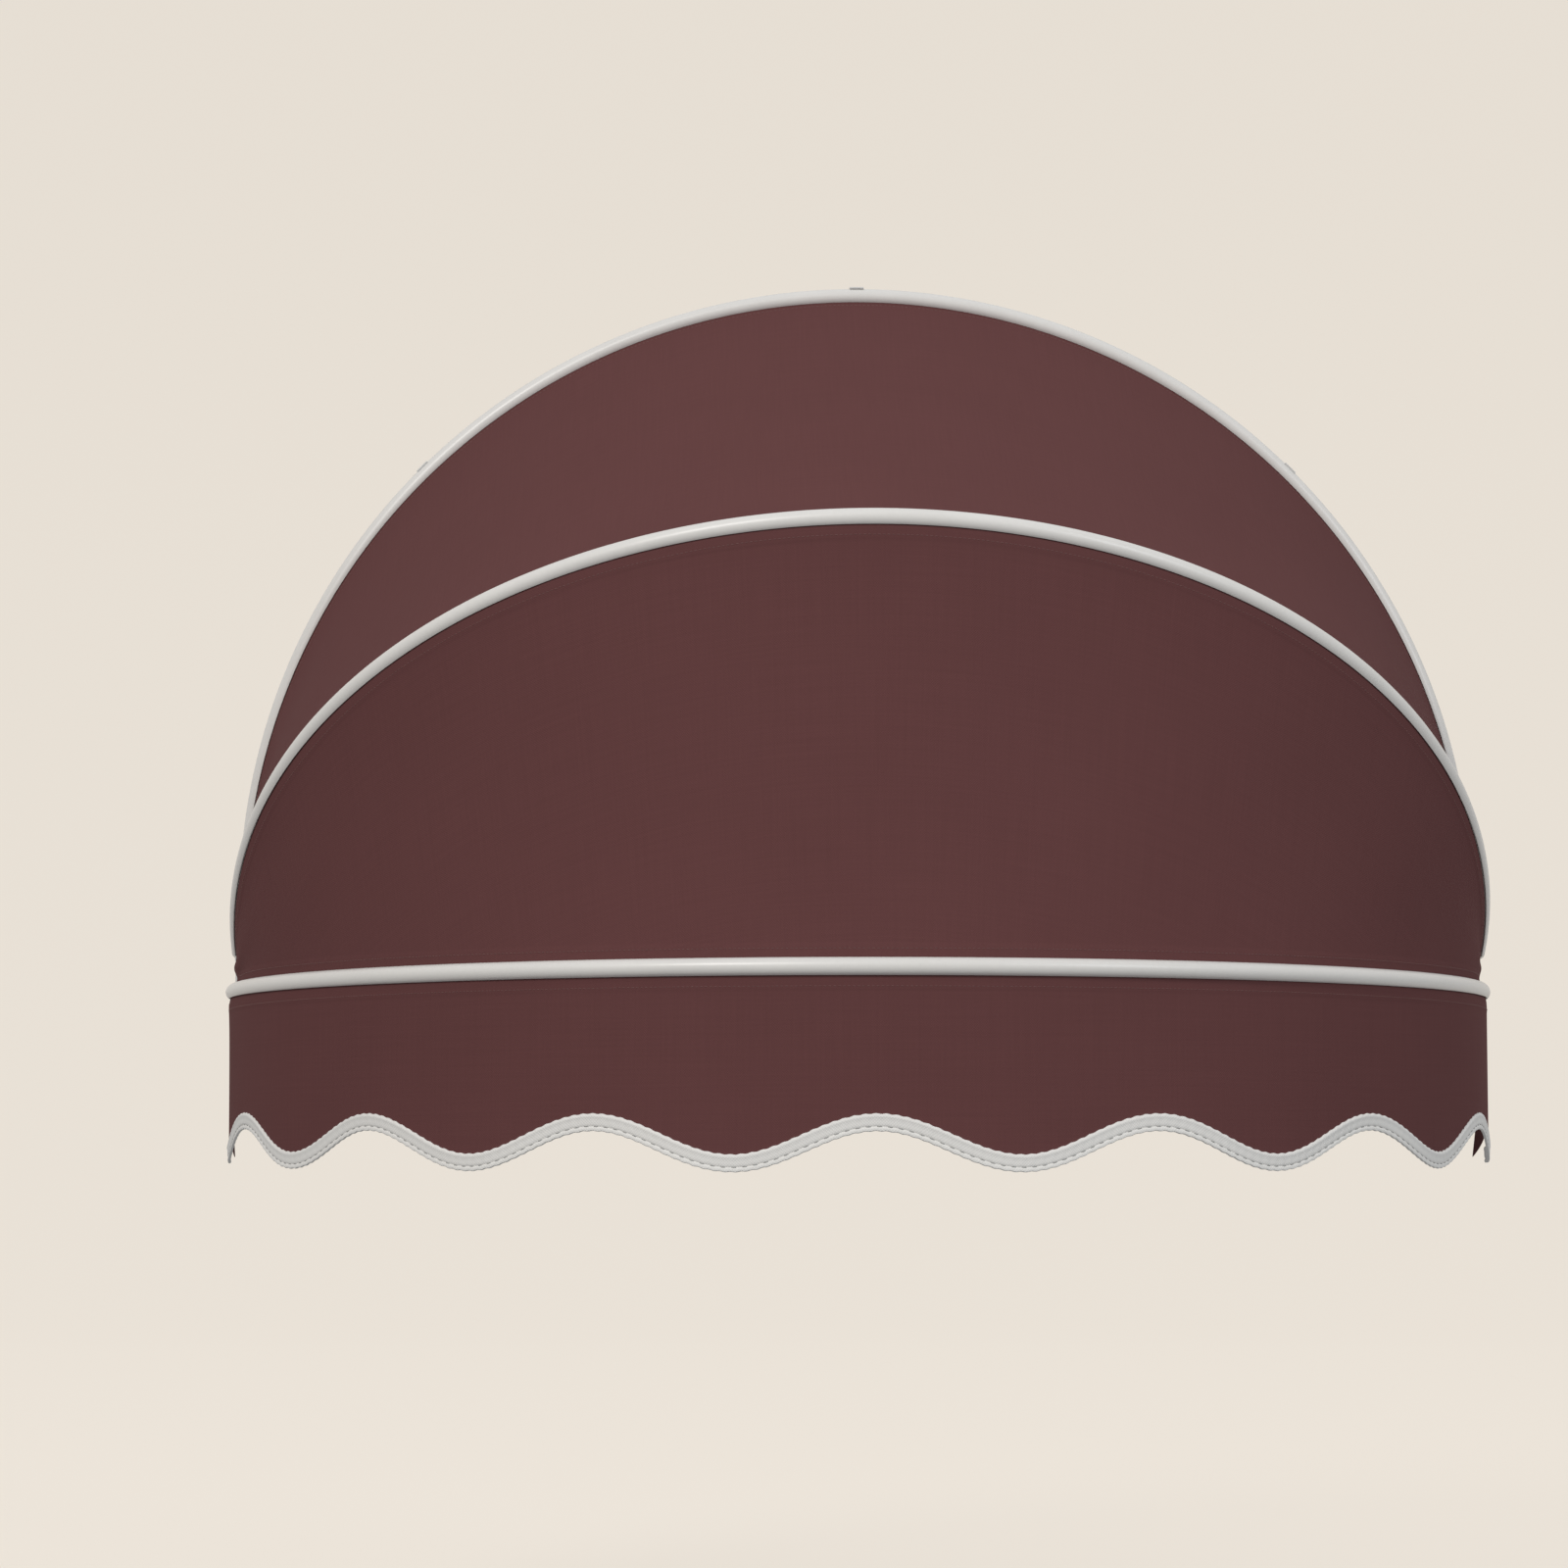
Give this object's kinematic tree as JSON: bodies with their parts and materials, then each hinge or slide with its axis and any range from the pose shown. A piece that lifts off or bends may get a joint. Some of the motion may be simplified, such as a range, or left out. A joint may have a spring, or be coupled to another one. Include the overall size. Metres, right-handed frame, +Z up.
{
  "type": "window awning",
  "caption": "Folding basket awning: three hinged hoops on wall brackets carry a rounded cloth dome with a scalloped, bound valance over a window.",
  "frame": {"origin": "on the wall plane, midway between the two hinge brackets, at the height of the hinge axis", "axes": "+Z up, +Y into the wall, +X to the right of someone facing the wall; the awning stands out towards -Y"},
  "size_m": [1.2304, 0.6197, 0.8687],
  "materials": {
    "white_tube": "satin white powder coat on aluminium",
    "white_bracket": "satin white powder coat on cast aluminium",
    "maroon_canvas": "matt plain weave acrylic canvas",
    "white_binding": "ribbed woven tape",
    "zinc_steel": "bright zinc plated"
  },
  "bodies": {
    "wall_frame": {"wall_hoop": "white_tube", "upper_canopy": "maroon_canvas", "hinge_bracket_left": "white_bracket", "hinge_bracket_right": "white_bracket", "pivot_bolt_left": "zinc_steel", "pivot_bolt_right": "zinc_steel", "pivot_washer_left": "zinc_steel", "pivot_washer_right": "zinc_steel", "pivot_nut_left": "zinc_steel", "pivot_nut_right": "zinc_steel", "bracket_screw_left_1": "zinc_steel", "bracket_screw_left_2": "zinc_steel", "bracket_screw_left_3": "zinc_steel", "bracket_screw_right_1": "zinc_steel", "bracket_screw_right_2": "zinc_steel", "bracket_screw_right_3": "zinc_steel", "wall_clip_left": "white_bracket", "wall_clip_top": "white_bracket", "wall_clip_right": "white_bracket", "wall_clip_screw_left": "zinc_steel", "wall_clip_screw_top": "zinc_steel", "wall_clip_screw_right": "zinc_steel"},
    "middle_frame": {"middle_hoop": "white_tube", "middle_hoop_end_left": "zinc_steel", "middle_hoop_end_right": "zinc_steel", "front_canopy": "maroon_canvas"},
    "front_frame": {"front_hoop": "white_tube", "front_hoop_end_left": "zinc_steel", "front_hoop_end_right": "zinc_steel", "valance": "maroon_canvas", "valance_binding": "white_binding"}
  },
  "joints": [
    {"name": "middle_hoop_fold", "type": "hinge", "parent": "wall_frame", "child": "middle_frame", "pos_m": [0, -0.04, 0], "axis": [-1, 0, 0], "range_deg": [0, 52], "deforming": ["upper_canopy"]},
    {"name": "front_hoop_fold", "type": "hinge", "parent": "middle_frame", "child": "front_frame", "pos_m": [0, -0.04, 0], "axis": [-1, 0, 0], "range_deg": [0, 21], "deforming": ["front_canopy"]}
  ],
  "couplings": [
    {"joint": "front_hoop_fold", "follows": "middle_hoop_fold", "ratio": 0.40385}
  ]
}
